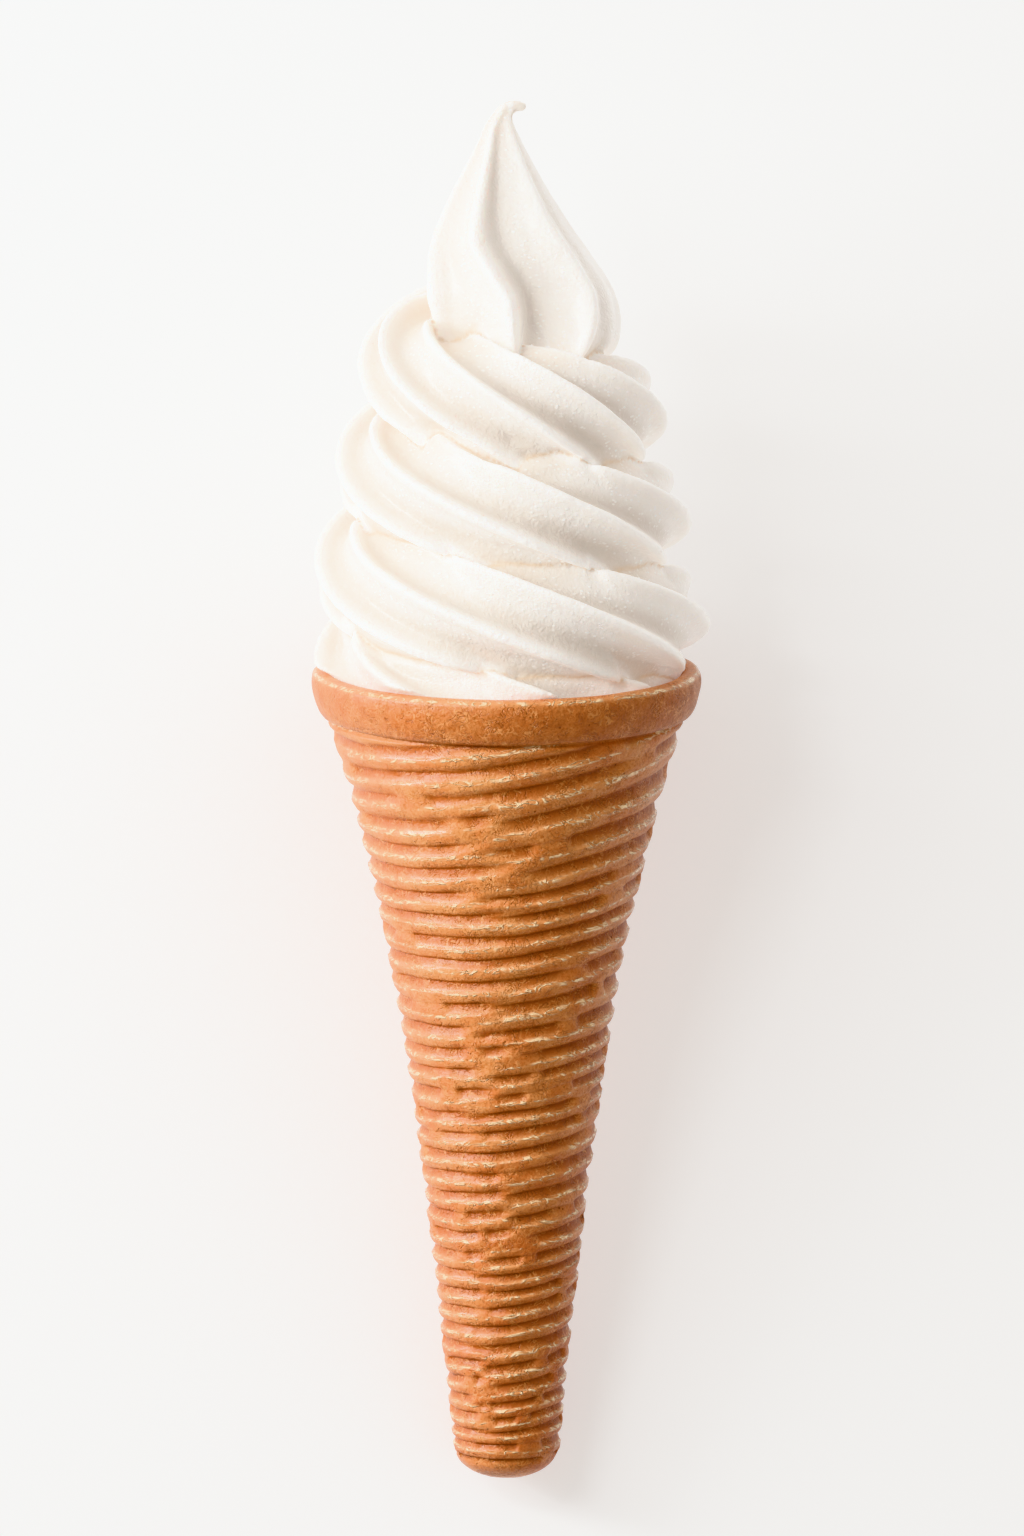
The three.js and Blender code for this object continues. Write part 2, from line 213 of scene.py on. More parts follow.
# Where its two shown ridges run: height, and degrees to the right of the front for each.
PEAK_RIDGES = (
    (180.0, -4.0, 30.0),
    (186.0, -5.0, 39.0),
    (190.0, -5.0, 45.0),
    (194.5, -5.5, 51.0),
    (198.5, -13.0, 53.0),
    (202.5, -25.0, 51.0),
    (206.5, -27.0, 48.0),
    (213.0, -27.0, 49.0),
)
# Depth of the valley after each ridge, going round from the left of the two shown ones, as a
# part of the first one's depth.
VALLEY_DEPTHS = (1.0, 0.3, 0.8, 0.8, 0.8, 0.5)
VALLEY_DEEPER = 0.5  # at the foot of the first valley
DEEPER_UP_TO = (188.0, 201.0)

CREASE_FROM = (5.5, 9.5)  # depth below the rope's outside
DEEP_PART = 0.3
BEND_FROM = (0.0, 0.045)
SEAM_WIDTH = 0.6
SEAM_GLOW = 0.5  # part of the painted crease shade beside a seam
SEAM_GLOW_WIDTH = 1.5
FURROW_DEPTH = 0.32
FURROW_WIDTH = 1.1
ROUNDING_DEPTH = 0.55
ROUNDING_WIDTH = 2.4
PEAK_BLEND = 0.4
PEAK_HOLLOW = 0.5  # of the painted hollow shade on the peak
# The hollow beside a crest as parts of the way to the next one: where its painted shade starts
# and is full, and where it begins to fade and is gone.
HOLLOW = (0.03, 0.17, 0.3, 0.8)
# Width of the painted highlight line on each crest, and where the painted glints lie.
CREST_WIDTH = 0.085
GLINTS_FROM = (0.25, 0.55)
GLINTS_TO = (0.85, 0.95)
CREST_ABOVE = (135.0, 142.0)  # heights over which the crests' painted highlight lines come out of the rim

# ---- Lying down ----

FLAT_DEPTH = 0.35
REST_SHOULDER = 0.74  # of the first rib, the height that touches the floor
RIB_RELIEF = 0.23  # relief as a part of the rib's height


def smoothstep(values, start, end):
    """0 before start, 1 after end, and 3t^2 - 2t^3 between them."""
    t = np.clip((values - start) / (end - start), 0, 1)
    return t * t * (3 - 2 * t)


def bell(away, width):
    """1 at 0, and e^-1 at the width: e to the minus square of away / width."""
    return np.exp(-((away / width) ** 2))


def cone_radius(height):
    """Tail radius, plus a steady taper, plus a flare that grows as a power of the height."""
    above = np.maximum(height, 0)
    return TAIL_RADIUS + TAPER * above + FLARE * (above / RIM_FOOT) ** FLARE_POWER


REST_HEIGHT = TAIL_DOME + REST_SHOULDER * FIRST_RIB
REST_RADIUS = cone_radius(REST_HEIGHT) + RIB_RELIEF * FIRST_RIB / 2
LEAN = math.atan((RIM_RADIUS - REST_RADIUS) / (RIM_WIDEST - REST_HEIGHT))
WAFER_LOW, WAFER_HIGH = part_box("wafer_cone")
RIM_FORWARD = max(h * math.cos(LEAN) + r * math.sin(LEAN) for r, h in RIM_OUTLINE)
AXIS_FOOT = (
    (WAFER_LOW.x + WAFER_HIGH.x) / 2,
    WAFER_HIGH.y - RIM_FORWARD * MM,
    (RIM_RADIUS * math.cos(LEAN) - RIM_WIDEST * math.sin(LEAN) - FLAT_DEPTH) * MM,
)


def lay_down(points):
    """Upright points in millimetres, turned about X onto the rim and the tail, in metres.

    Along the floor: height * cos(lean) + back * sin(lean).
    Above the floor: height * sin(lean) - back * cos(lean), never below it.
    """
    right, back, height = np.moveaxis(points, -1, 0)
    along = height * math.cos(LEAN) + back * math.sin(LEAN)
    above = height * math.sin(LEAN) - back * math.cos(LEAN)
    laid = np.stack([right, along, above], axis=-1) * MM + np.array(AXIS_FOOT)
    laid[..., 2] = np.maximum(laid[..., 2], 0)
    return laid


# ---- Surfaces ----


def value_noise(points, size, seed):
    """Smooth noise from -1 to 1: random values on a lattice of that size, blended in each
    cube along each axis by 3t^2 - 2t^3."""
    lattice = np.random.default_rng(seed).uniform(-1, 1, (16, 16, 16))
    cells = points / size
    base = np.floor(cells).astype(int)
    t = cells - base
    t = t * t * (3 - 2 * t)
    total = np.zeros(points.shape[:-1])
    for corner in itertools.product((0, 1), repeat=3):
        weight = np.prod(np.where(corner, t, 1 - t), axis=-1)
        index = (base + np.array(corner)) % 16
        total += weight * lattice[index[..., 0], index[..., 1], index[..., 2]]
    return total


def unevenness(points, waves):
    """The sum of several noises, each with its depth, its size and its seed."""
    return sum(depth * value_noise(points, size, seed) for depth, size, seed in waves)


def unit(vectors):
    return vectors / np.linalg.norm(vectors, axis=-1, keepdims=True)


def catmull_rom(stations, steps):
    """A smooth curve through the stations: between two of them a cubic whose slope at each is
    half the way from the station before to the one after."""
    points = np.asarray(stations, float)
    padded = np.vstack([2 * points[0] - points[1], points, 2 * points[-1] - points[-2]])
    place = np.linspace(0, len(points) - 1, steps)
    index = np.minimum(place.astype(int), len(points) - 2)
    t = (place - index)[:, None]
    before, start, end, after = (padded[index + offset] for offset in range(4))
    return 0.5 * (
        2 * start
        + (end - before) * t
        + (2 * before - 5 * start + 4 * end - after) * t**2
        + (3 * start - before - 3 * end + after) * t**3
    )


def tube_mesh(rings, start, end):
    """Points and faces of a closed surface of rings, each end closed to a point."""
    rows, columns = rings.shape[:2]
    points = np.vstack([rings.reshape(-1, 3), start, end])
    first = np.arange(rows * columns).reshape(rows, columns)
    after = np.roll(first, -1, axis=1)
    sides = np.stack([first[:-1], after[:-1], after[1:], first[1:]], axis=-1).reshape(-1, 4)
    start_index = rows * columns
    start_fan = [(start_index, b, a) for a, b in zip(first[0], after[0])]
    end_fan = [(start_index + 1, a, b) for a, b in zip(first[-1], after[-1])]
    return points, [*map(tuple, sides.tolist()), *start_fan, *end_fan]


def join_meshes(parts):
    """Points and faces of several surfaces as one mesh, the faces counted on."""
    points, faces, offset = [], [], 0
    for part_points, part_faces in parts:
        points.append(part_points)
        faces += [tuple(corner + offset for corner in face) for face in part_faces]
        offset += len(part_points)
    return np.vstack(points), faces


def new_piece(name, points, faces):
    mesh = bpy.data.meshes.new(name)
    mesh.from_pydata(points.tolist(), [], faces)
    mesh.shade_smooth()
    piece = bpy.data.objects.new(name, mesh)
    bpy.context.scene.collection.objects.link(piece)
    return piece


def set_attribute(mesh, name, values):
    attribute = mesh.attributes.new(name, "FLOAT", "POINT")
    attribute.data.foreach_set("value", np.asarray(values, np.float32).ravel())


# ---- Wafer ----


def groove_height(rib):
    """Height of a groove: the tail's dome plus a geometric row of ribs."""
    return TAIL_DOME + FIRST_RIB * (RIB_GROWTH**rib - 1) / (RIB_GROWTH - 1)


def rib_at(height):
    """The rib that stands at a height, as groove_height() turned round."""
    grown = 1 + (height - TAIL_DOME) * (RIB_GROWTH - 1) / FIRST_RIB
    return np.log(grown) / math.log(RIB_GROWTH)


def rib_climb(azimuth, height):
    """How far a rib stands above its middle height: level at the tail, steeper near the rim."""
    steepness = RIB_TILT + TILT_GAIN * smoothstep(height, *GAIN_FROM)
    tilt = steepness * np.cos(azimuth) + RIB_SWING * np.cos(2 * azimuth)
    return tilt * cone_radius(height) * smoothstep(height, *TILT_FROM)


def groove_carving(phase, weights):
    """How deep the nearest groove is cut: rounded into the rib above, slanting out over the
    one below, and narrower as its weight falls."""
    from_groove = phase - np.floor(phase + 0.5)
    width = NARROWEST + (1 - NARROWEST) * weights
    above = np.clip(1 - from_groove / (LOWER_FACE * width), 0, 1) ** LOWER_POWER
    below = np.clip(1 + from_groove / (UPPER_FACE * width), 0, 1) ** UPPER_POWER
    crevice = bell(from_groove, CREVICE_WIDTH)
    above = (1 - CREVICE_PART) * above + CREVICE_PART * crevice
    return np.where(from_groove > 0, above, below) * weights


def crest_line(phase, weights):
    """How near a point lies to the crest half way between two grooves: a narrow bell."""
    from_crest = phase - np.floor(phase) - 0.5
    return bell(from_crest, RIB_CREST_WIDTH) * weights


def seam_weights(sideways, left_phase, right_phase, seed):
    """How much of each side's grooves is left near a seam: each runs out at a place of its
    own, and where both sides' overlap they share the depth."""
    random = np.random.default_rng(seed)
    high = np.linspace(0, 1, RIBS + 2)
    seam = SEAM_LOW + (SEAM_HIGH - SEAM_LOW) * high
    spread = SPREAD_LOW + (SPREAD_HIGH - SPREAD_LOW) * high
    left_end = seam + spread * random.uniform(-1, 1, RIBS + 2)
    missed = rib_shift(np.arange(RIBS + 2.0)) / SHIFT_MOST
    gap = SEAM_GAP[0] + (SEAM_GAP[1] - SEAM_GAP[0]) * missed
    right_start = left_end + gap + spread / 3 * random.uniform(-1, 1, RIBS + 2)
    open_parts, pinches = [], []
    for phase, ends, side in ((left_phase, left_end, -1), (right_phase, right_start, 1)):
        groove = np.clip(np.floor(phase + 0.5), 0, RIBS + 1).astype(int)
        past_end = side * (sideways - ends[groove])
        open_parts.append(smoothstep(past_end, -GROOVE_END / 2, GROOVE_END / 2))
        pinches.append(pinched(groove, sideways))
    shared = np.maximum(sum(open_parts), 1)
    return [part * pinch / shared for part, pinch in zip(open_parts, pinches)]


def pinched(groove, sideways):
    """What is left of a groove's depth where noise along it lets it nearly run out."""
    along, across = PINCH_WAVES
    place = np.stack([along * sideways, 0 * sideways, across * groove], axis=-1)
    open_part = smoothstep(value_noise(place, 1.0, PINCH_SEED), *PINCH_NOISE)
    return PINCH_LEFT + (1 - PINCH_LEFT) * open_part


def rib_shift(rib):
    """How far the ribs of the right lie below those of the left, in ribs: a slow wave that is
    level at both ends of the cone."""
    ends = smoothstep(rib, 0, SHIFT_FADE) * (1 - smoothstep(rib, RIBS - SHIFT_FADE, RIBS))
    return SHIFT_MOST * ends * (1 - np.cos(TURN * rib / SHIFT_WAVE)) / 2


def ribbed_rows(azimuth, relief_part):
    """Rings of the ribbed wall: radius of the cone, plus half the relief, less the grooves of
    the left and the right, which meet or miss along a seam at the front and at the back."""
    last = rib_at(RIM_FOOT)
    rib = np.add.outer(np.arange(RIBS + 1), RIB_ROWS).ravel()
    close_below = last - np.array(CLOSE_ROWS)
    rib = np.append(rib[rib < close_below[0] - CLOSE_GAP], close_below)[:, None]
    azimuth = np.broadcast_to(azimuth, (len(rib), len(azimuth)))
    at_front = np.sin(azimuth) < 0
    sideways = np.arctan2(np.cos(azimuth), np.abs(np.sin(azimuth)))
    seam = SEAM_LOW + (SEAM_HIGH - SEAM_LOW) * rib / RIBS
    to_right = smoothstep(sideways - seam, -SLIDE, SLIDE)
    shift = rib_shift(rib)
    around = np.stack([2 * np.cos(azimuth), 2 * np.sin(azimuth), rib + 0 * azimuth], axis=-1)
    ends = smoothstep(rib, 0, 2) * (1 - smoothstep(rib, RIBS - 2, RIBS))
    wander = ends * unevenness(around, RIB_WANDER)
    row_height = groove_height(rib - shift * to_right + wander)
    climb = rib_climb(azimuth, row_height)
    levelled = climb * smoothstep(row_height, *ROWS_LEVEL)
    left_phase = rib_at(row_height - levelled) - wander
    right_phase = left_phase + shift
    front, back = (seam_weights(sideways, left_phase, right_phase, seed) for seed in SEAM_SEEDS)
    left, right = (np.where(at_front, f, b) for f, b in zip(front, back))
    carved = groove_carving(left_phase, left) + groove_carving(right_phase, right)
    crest = crest_line(left_phase, left) + crest_line(right_phase, right)
    height = row_height + climb - levelled
    relief = relief_part * FIRST_RIB * RIB_GROWTH**rib
    depth = 1 + unevenness(around, DEPTH_WANDER)
    notch = NOTCH_DEPTH * bell(RIM_FOOT - height, NOTCH_WIDTH)
    radius = cone_radius(height) + relief * (0.5 - depth * carved) - notch * (1 - carved)
    return rings_at(radius, azimuth, height), carved, crest


def rings_at(radius, azimuth, height):
    """Points at a radius, an azimuth and a height round the cone's axis."""
    radius, azimuth, height = np.broadcast_arrays(radius, azimuth, height)
    return np.stack([radius * np.cos(azimuth), radius * np.sin(azimuth), height], axis=-1)


def wafer_surface(relief_part):
    """The closed wafer: a half ellipse at the tail, the ribbed wall, the rim's outline and the
    plain wall inside. Also how far each point lies in a groove, on a crest and on the rim: the
    masks of the painted shade in the grooves and on the rim's face, and of the painted highlights
    on the crests and along the rim's top edge."""
    azimuth = TURN * np.arange(WAFER_COLUMNS) / WAFER_COLUMNS
    angle = (math.pi / 2 * np.arange(1, TAIL_ROWS + 1) / (TAIL_ROWS + 1))[:, None]
    tail_radius = cone_radius(TAIL_DOME) * np.sin(angle)
    tail = rings_at(tail_radius, azimuth, TAIL_DOME * (1 - np.cos(angle)))
    ribbed, carved, crest = ribbed_rows(azimuth, relief_part)
    outline = catmull_rom(RIM_OUTLINE, RIM_STEPS * (len(RIM_OUTLINE) - 1) + 1)
    rim = rings_at(outline[:, :1], azimuth, outline[:, 1:])
    inner_height = np.linspace(RIM_FOOT, INNER_BOTTOM, INNER_ROWS)[:, None]
    inner = rings_at(cone_radius(inner_height) - WALL, azimuth, inner_height)
    rings = np.vstack([tail, ribbed, rim, inner])
    traits = {name: np.zeros(rings.shape[:2]) for name in ("groove", "crest", "rim")}
    on_wall = slice(len(tail), len(tail) + len(ribbed))
    on_rim = slice(on_wall.stop, on_wall.stop + len(rim))
    place = np.arange(len(rim))[:, None] / RIM_STEPS
    traits["groove"][on_wall] = carved
    traits["crest"][on_wall] = crest
    # A painted highlight line along the rim's top edge, through the crest mask.
    traits["crest"][on_rim] = bell(place - RIM_EDGE, RIM_EDGE_WIDTH)
    # The rim's face gets a deeper brown: a darker bake and painted shade.
    traits["rim"][on_rim] = RIM_SHADE * (1 - smoothstep(place, RIM_EDGE - 1, RIM_EDGE))
    shown = rings[:on_rim.stop]
    shown += unit(shown * (1, 1, 0)) * unevenness(shown, WAFER_UNEVEN)[..., None]
    return rings, traits


# ---- Soft serve ----


def star_radius(phase, groove):
    """Lobes with crisp crests between broad valleys, as a part of the section's radius: a
    raised cosine to a power, its phase pinched by its sine and made to lean by its cosine."""
    leaning = phase + CREST_PINCH * np.sin(phase) + LOBE_LEAN * (1 - np.cos(phase))
    crest = ((1 + np.cos(leaning)) / 2) ** CREST_SHARPNESS
    return 1 - groove * (1 - crest)


def coil_reach(turn):
    """From the axis to the rope's outside: a curve that leans in as the coil rises, and a
    narrower turn that stands in the wafer's mouth."""
    risen = np.maximum(turn, 0)
    coiled = COIL_REACH - COIL_LEAN * risen - COIL_CURVE * risen * risen
    clear = smoothstep(turn, MOUTH_LAST_TURN, 0)
    return MOUTH_REACH + (coiled - MOUTH_REACH) * clear


def lobe_angle(turn):
    """How far the rope has turned about its own middle: steadily, but for a small wander."""
    wander = LOBE_WANDER * np.sin(2 * TURN * (turn - WANDER_START))
    return TURN * LOBE_TURNS * turn + wander + LOBE_GAIN * smoothstep(turn, *GAIN_TURNS)


def rope_section(turn):
    """Radius of the rope's section, and its middle's distance from the axis and height. The
    rope's end is thinner and tucked in."""
    tuck = smoothstep(turn, LAST_TURN - ROPE_END, LAST_TURN)
    radius = ROPE_RADIUS * (1 - ROPE_END_SHRINK * tuck)
    middle = coil_reach(turn) - ROPE_RADIUS - tuck * ROPE_RADIUS * ROPE_END_SHRINK
    return radius, middle, COIL_START + COIL_PITCH * turn


def rope(groove):
    """A star-shaped section carried up a coil that leans in."""
    steps = round((LAST_TURN - FIRST_TURN) * STEPS_PER_TURN) + 1
    turn = np.linspace(FIRST_TURN, LAST_TURN, steps)[:, None]
    angle = (TURN * np.arange(ROPE_POINTS) / ROPE_POINTS)[None, :]
    radius, middle, height = rope_section(turn)
    inward = np.minimum(1, (middle - AXIS_CLEARANCE) / radius)
    reach = radius * star_radius(angle * LOBES, groove)
    across = reach * np.cos(angle + lobe_angle(turn))
    out = middle + across * np.where(across < 0, inward, 1)
    rings = rings_at(out, -TURN * turn, height + reach * np.sin(angle + lobe_angle(turn)))
    ends = rings_at(middle, -TURN * turn, height)
    return tube_mesh(rings, ends[0, 0], ends[-1, 0])


def ridges_at(height):
    """Directions of the peak's two shown ridges at a height, between the rows given."""
    heights, *ridges = np.array(PEAK_RIDGES).T
    return [np.radians(np.interp(height, heights, ridge)) - TURN / 4 for ridge in ridges]


def peak_azimuth(passed, height):
    """Direction of a point so many lobes on from the first ridge: one lobe up to the second,
    and the others evenly over the rest of the way round."""
    first, second = ridges_at(height)
    rest = (TURN - (second - first)) / (LOBES - 1)
    return np.where(passed < 1, first + passed * (second - first), second + (passed - 1) * rest)


def peak_passed(azimuth, height):
    """The lobes passed at an azimuth, as peak_azimuth() turned round."""
    first, second = ridges_at(height)
    gap = second - first
    turned = np.mod(azimuth - first, TURN)
    return np.where(turned < gap, turned / gap, 1 + (LOBES - 1) * (turned - gap) / (TURN - gap))


def valley_depth(passed, height):
    """Depth of the peak's valleys as a part of the groove: a value for each valley, and the
    first one deeper at its foot."""
    foot = VALLEY_DEEPER * (1 - smoothstep(height, *DEEPER_UP_TO))
    return np.array(VALLEY_DEPTHS)[passed.astype(int)] + np.where(passed < 1, foot, 0)


def peak(groove):
    """Star-shaped sections along a curve through the stations, tilting into a hooked tip."""
    stations = catmull_rom(PEAK_STATIONS, PEAK_STEPS)
    middle = np.stack([stations[:, 0], 0 * stations[:, 0], stations[:, 1]], axis=-1)
    tangent = unit(np.gradient(middle, axis=0))
    hooked = smoothstep(middle[:, 2:], *PEAK_HOOK)
    upwards = unit((1 - hooked) * np.array([0, 0, 1]) + hooked * tangent)
    sideways = np.stack([upwards[:, 2], 0 * upwards[:, 0], -upwards[:, 0]], axis=-1)
    passed = (LOBES * np.arange(PEAK_POINTS) / PEAK_POINTS)[None, :]
    height = stations[:, 1:2]
    azimuth = peak_azimuth(passed, height)
    reach = stations[:, 2:] * star_radius(TURN * passed, groove * valley_depth(passed, height))
    across = (reach * np.cos(azimuth))[..., None] * sideways[:, None, :]
    behind = (reach * np.sin(azimuth))[..., None] * np.array([0, 1, 0])
    rings = middle[:, None, :] + across + behind
    tip = middle[-1] + tangent[-1] * stations[-1, 2] / 2
    return tube_mesh(rings, middle[0], tip)


def heart():
    """The filling and the inside of the swirl: a profile turned round the axis."""
    profile = [(cone_radius(0.0), 0.0), (cone_radius(RIM_FOOT), RIM_FOOT)]
    for turn in CORE_TURNS:
        profile.append((coil_reach(turn) - CORE_DEPTH, COIL_START + COIL_PITCH * turn))
    heights = np.arange(0, profile[-1][1], 2.0)
    radii = np.interp(heights, [h for _, h in profile], [r for r, _ in profile])
    azimuth = TURN * np.arange(CORE_COLUMNS) / CORE_COLUMNS
    rings = rings_at(radii[:, None], azimuth, heights[:, None])
    return tube_mesh(rings, np.array([0, 0, 0.0]), np.array([0, 0, CORE_TOP]))


def swell():
    """A flattened ball: half sizes times the sine and the cosine of its latitude."""
    latitude = (math.pi * np.arange(1, SWELL_ROWS) / SWELL_ROWS)[:, None]
    longitude = (TURN * np.arange(2 * SWELL_ROWS) / (2 * SWELL_ROWS))[None, :]
    out, around, up = SWELL_SIZE
    across = SWELL_MIDDLE[0] + out * np.sin(latitude) * np.cos(longitude)
    beside = around * np.sin(latitude) * np.sin(longitude)
    height = SWELL_MIDDLE[1] - up * np.cos(latitude) + 0 * longitude
    rings = np.stack([across, beside, height], axis=-1)
    foot, top = (np.array([SWELL_MIDDLE[0], 0, SWELL_MIDDLE[1] + side * up]) for side in (-1, 1))
    return tube_mesh(rings, foot, top)


def kept_inside(points):
    """Points drawn in to the room that the wafer leaves: its inside, less a gap, up to the
    lip, and then quickly wider above the rim."""
    height = points[..., 2]
    inside = cone_radius(height) - WALL - 2 * GAP
    heights, widths = zip(
        (RIM_FOOT, cone_radius(RIM_FOOT) - WALL - 2 * GAP), (LIP_HEIGHT, LIP_RADIUS), *ABOVE_LIP
    )
    room = np.where(height < RIM_FOOT, inside, np.interp(height, heights, widths))
    radius = np.maximum(np.hypot(points[..., 0], points[..., 1]), 1e-6)
    drawn = np.minimum(1, room / radius)
    kept = points * np.stack([drawn, drawn, np.ones_like(drawn)], axis=-1)
    kept[..., 2] = np.maximum(kept[..., 2], INNER_BOTTOM + GAP)
    return kept


def edge_ends(mesh):
    ends = np.empty(len(mesh.edges) * 2, int)
    mesh.edges.foreach_get("vertices", ends)
    return ends.reshape(-1, 2).T


def keep_outer_skin(mesh):
    """Removes the small closed pockets inside: all points not joined to the highest one."""
    skin = bmesh.new()
    skin.from_mesh(mesh)
    outer, waiting = set(), [max(skin.verts, key=lambda point: point.co.z)]
    while waiting:
        point = waiting.pop()
        if point not in outer:
            outer.add(point)
            waiting += [edge.other_vert(point) for edge in point.link_edges]
    pockets = [point for point in skin.verts if point not in outer]
    bmesh.ops.delete(skin, geom=pockets, context="VERTS")
    skin.to_mesh(mesh)
    skin.free()


def smooth_modifier(piece):
    smooth = piece.modifiers.new("Soften", "SMOOTH")
    smooth.factor = 0.5
    smooth.iterations = SMOOTHING


def work_in(piece):
    """Works the piece's modifiers into its mesh."""
    graph = bpy.context.evaluated_depsgraph_get()
    piece.data = bpy.data.meshes.new_from_object(piece.evaluated_get(graph))
    piece.modifiers.clear()


def fuse(piece, shape):
    """Joins the overlapping surfaces of a piece into one smooth skin, presses furrows along
    its seams, smooths them too, and thins the skin where it is plain."""
    remesh = piece.modifiers.new("Fuse", "REMESH")
    remesh.mode = "VOXEL"
    remesh.voxel_size = shape.cream_voxel
    smooth_modifier(piece)
    work_in(piece)
    keep_outer_skin(piece.data)
    press_furrows(piece.data, shape)
    smooth_modifier(piece)
    thin = piece.modifiers.new("Thin", "DECIMATE")
    thin.ratio = min(1, MOST_TRIANGLES / (2 * len(piece.data.polygons)))
    work_in(piece)
    piece.data.shade_smooth()
    return piece.data


def mesh_points(mesh, field="co"):
    values = np.empty(len(mesh.vertices) * 3)
    mesh.vertices.foreach_get(field, values)
    return values.reshape(-1, 3)


def nearest_turn(points):
    """The turn of the coil that stands nearest in height at each point's azimuth."""
    part = -np.arctan2(points[:, 1], points[:, 0]) / TURN
    return np.round((points[:, 2] - COIL_START) / COIL_PITCH - part) + part


def bend(mesh, points, normals):
    """How hollow the surface is bent at each point: the mean rise of its edges over the plane
    square to its normal, averaged once more with its neighbours."""
    first, second = edge_ends(mesh)
    along = unit(points[second] - points[first])
    rise_first = np.sum(normals[first] * along, axis=-1)
    rise_second = -np.sum(normals[second] * along, axis=-1)
    total = len(points)
    count = np.bincount(first, minlength=total) + np.bincount(second, minlength=total)
    rise = np.bincount(first, rise_first, total) + np.bincount(second, rise_second, total)
    rise /= count
    around = np.bincount(first, rise[second], total) + np.bincount(second, rise[first], total)
    return (rise + around / count) / 2


def round_rope(points, turn):
    """Each point round the rope's section at that turn: how far from its middle and at which
    angle to the lobes."""
    _, middle, height = rope_section(turn)
    out = np.hypot(points[:, 0], points[:, 1]) - middle
    up = points[:, 2] - height
    return np.hypot(out, up), np.arctan2(up, out) - lobe_angle(turn)


def round_peak(points):
    """Each point round the peak: how far from its middle, lobes passed, the peak's radius."""
    stations = np.array(PEAK_STATIONS[:-2])
    middle = np.interp(points[:, 2], stations[:, 1], stations[:, 0])
    passed = peak_passed(np.arctan2(points[:, 1], points[:, 0] - middle), points[:, 2])
    away = np.hypot(points[:, 0] - middle, points[:, 1])
    return away, passed, np.interp(points[:, 2], stations[:, 1], stations[:, 2])


def off_rope(points, turn, groove):
    """How far points stand off the rope's surface at that turn, and far where it has none."""
    away, angle = round_rope(points, turn)
    apart = away - rope_section(turn)[0] * star_radius(angle * LOBES, groove)
    return np.where((turn < FIRST_TURN) | (turn > LAST_TURN), COIL_PITCH, apart)


def off_peak(points, groove):
    """How far points stand off the peak's surface, and far where it has none."""
    away, passed, radius = round_peak(points)
    height = points[:, 2]
    star = star_radius(TURN * passed, groove * valley_depth(passed, height))
    return np.where(height < PEAK_STATIONS[0][1], COIL_PITCH, away - radius * star)


def off_surfaces(points, shape):
    """How far points stand off each turn near them, the lowest first, and off the peak. Also
    the nearest turn to each, and how much of it is the peak's."""
    turn = nearest_turn(points)
    off = [off_rope(points, turn + step, shape.rope_groove) for step in (-1, 0, 1)]
    off.append(off_peak(points, shape.peak_groove))
    own_turn = turn + np.argmin(off[:3], axis=0) - 1
    on_peak = smoothstep(np.min(off[:3], axis=0) - off[3], -PEAK_BLEND, PEAK_BLEND)
    return np.array(off), own_turn, on_peak


def press_furrows(mesh, shape):
    """Presses the surface in along the seams: a narrow bell across each seam, and a wide one
    that rounds the lobes down to it."""
    points = mesh_points(mesh) / MM
    off = off_surfaces(points, shape)[0]
    nearest, second = np.sort(off, axis=0)[:2]
    depth = FURROW_DEPTH * bell(second - nearest, FURROW_WIDTH)
    depth += ROUNDING_DEPTH * bell(second - nearest, ROUNDING_WIDTH)
    pressed = points - mesh_points(mesh, "normal") * depth[:, None]
    mesh.vertices.foreach_set("co", (pressed * MM).ravel())
    mesh.update()


def crease_shade(bent, points, off, own_turn, on_peak):
    """How much painted warm shade a point gets, 0 to 1: a thin line where two surfaces meet and
    bend inwards, softer beside it, and a faint painted shade deep between two turns."""
    nearest, second = np.sort(off, axis=0)[:2]
    line = bell(second - nearest, SEAM_WIDTH)
    beside = SEAM_GLOW * bell(second - nearest, SEAM_GLOW_WIDTH)
    below = coil_reach(own_turn) - np.hypot(points[:, 0], points[:, 1])
    deep = DEEP_PART * smoothstep(below, *CREASE_FROM) * (1 - on_peak)
    return np.maximum(np.maximum(line, beside) * smoothstep(bent, *BEND_FROM), deep)


def lobe_traits(points, own_turn, on_peak):
    """How much painted shade the cream gets in the hollow beside a crest, how near it lies to the
    crest's painted highlight line and how much painted glint it gets, each 0 to 1, round the rope
    and round the peak."""
    angle = round_rope(points, own_turn)[1]
    passed = round_peak(points)[1]
    traits = []
    for lobes, hollow_part in ((angle * LOBES / TURN, 1.0), (passed, PEAK_HOLLOW)):
        part = np.mod(lobes, 1)
        hollow = smoothstep(part, *HOLLOW[:2]) * (1 - smoothstep(part, *HOLLOW[2:]))
        crest = bell(np.minimum(part, 1 - part), CREST_WIDTH)
        glints = smoothstep(part, *GLINTS_FROM) * (1 - smoothstep(part, *GLINTS_TO))
        traits.append(np.stack([hollow * hollow_part, crest, glints]))
    hollow, crest, glints = traits[0] + (traits[1] - traits[0]) * on_peak
    free = smoothstep(points[:, 2], *CREST_ABOVE)
    return {"hollow": hollow, "crest": crest * free, "glints": glints}


# ---- Materials ----


def shader_node(tree, kind, values=None, **settings):
    """A shader node with its settings, its sockets set to values or linked to sockets."""
    made = tree.nodes.new("ShaderNode" + kind)
    for name, value in settings.items():
        setattr(made, name, value)
    set_sockets(tree, made, values or {})
    return made


